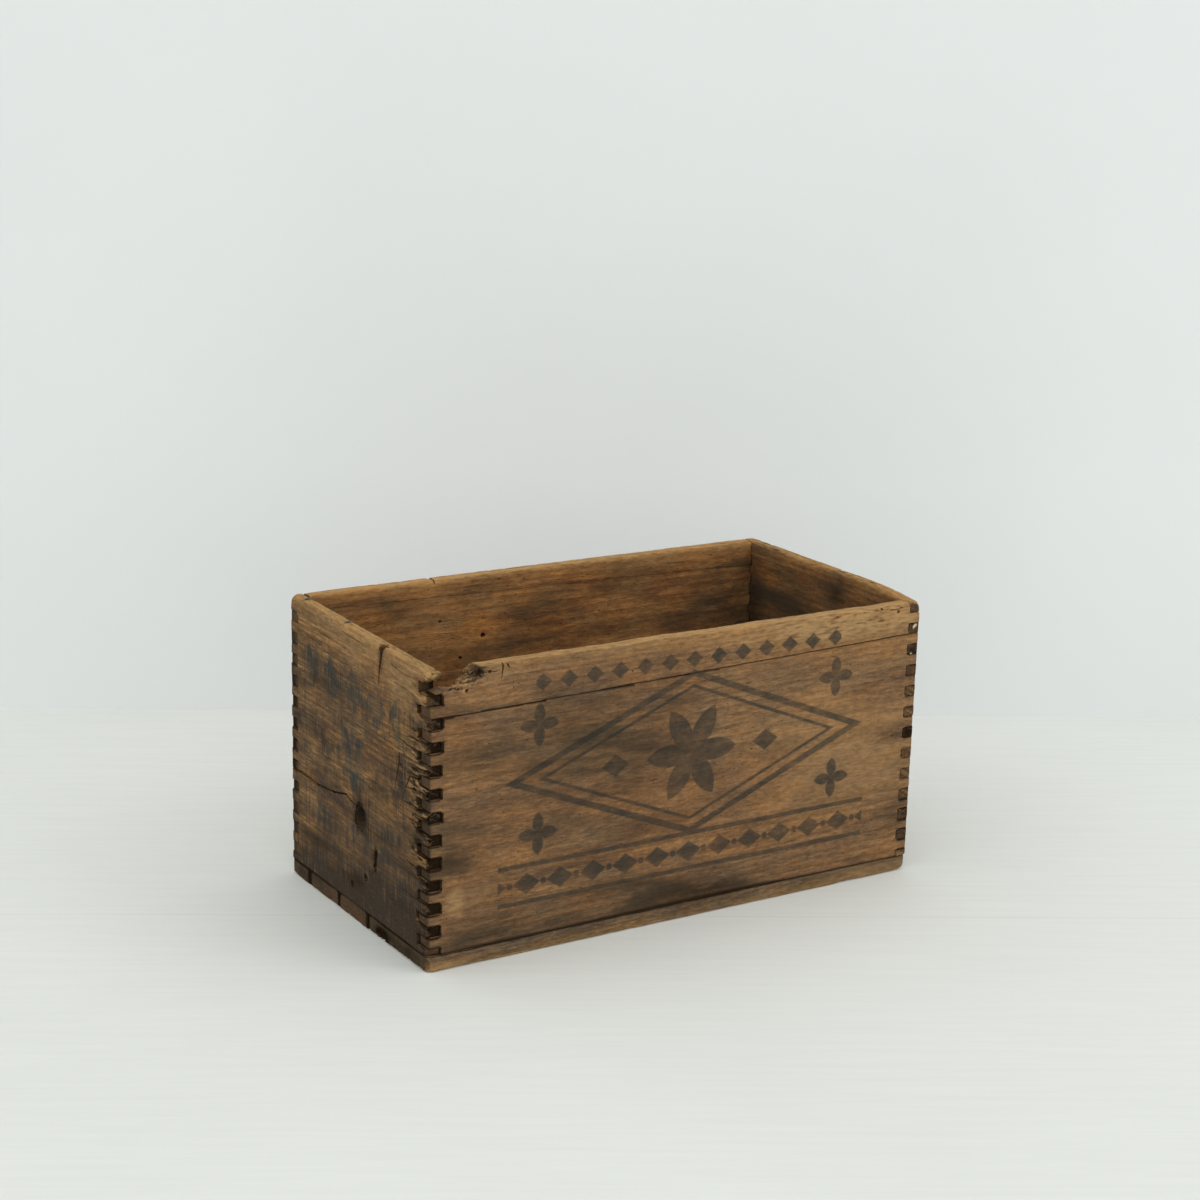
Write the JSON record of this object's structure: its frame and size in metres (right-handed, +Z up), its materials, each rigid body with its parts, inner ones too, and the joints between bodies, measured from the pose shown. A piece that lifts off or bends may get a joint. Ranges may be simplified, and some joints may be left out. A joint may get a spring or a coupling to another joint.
{
  "type": "wooden crate",
  "caption": "Old open-topped wooden crate with finger-jointed corners, tongued two-board sides and a nailed board floor.",
  "frame": {"origin": "middle of the underside of the floor boards", "axes": "+X along the front to the right, +Y from the front to the back, +Z up"},
  "size_m": [0.402, 0.21, 0.2104],
  "materials": {
    "side_pine": "bare aged pine, worn and stained",
    "end_pine": "bare aged pine, sawn and dirty",
    "floor_pine": "bare aged pine, rough sawn",
    "wire_nail": "rusted steel wire nail",
    "lid_nail": "flattened, dull grey steel"
  },
  "bodies": {
    "root": {"front_lower_board": "side_pine", "front_upper_board": "side_pine", "back_lower_board": "side_pine", "back_upper_board": "side_pine", "left_end_board": "end_pine", "right_end_board": "end_pine", "floor_board_rear": "floor_pine", "floor_board_second": "floor_pine", "floor_board_third": "floor_pine", "floor_board_front": "floor_pine", "floor_nails_left": "wire_nail", "floor_nails_right": "wire_nail", "floor_nails_front": "wire_nail", "floor_nails_back": "wire_nail", "bent_lid_nails": "lid_nail"}
  },
  "joints": []
}
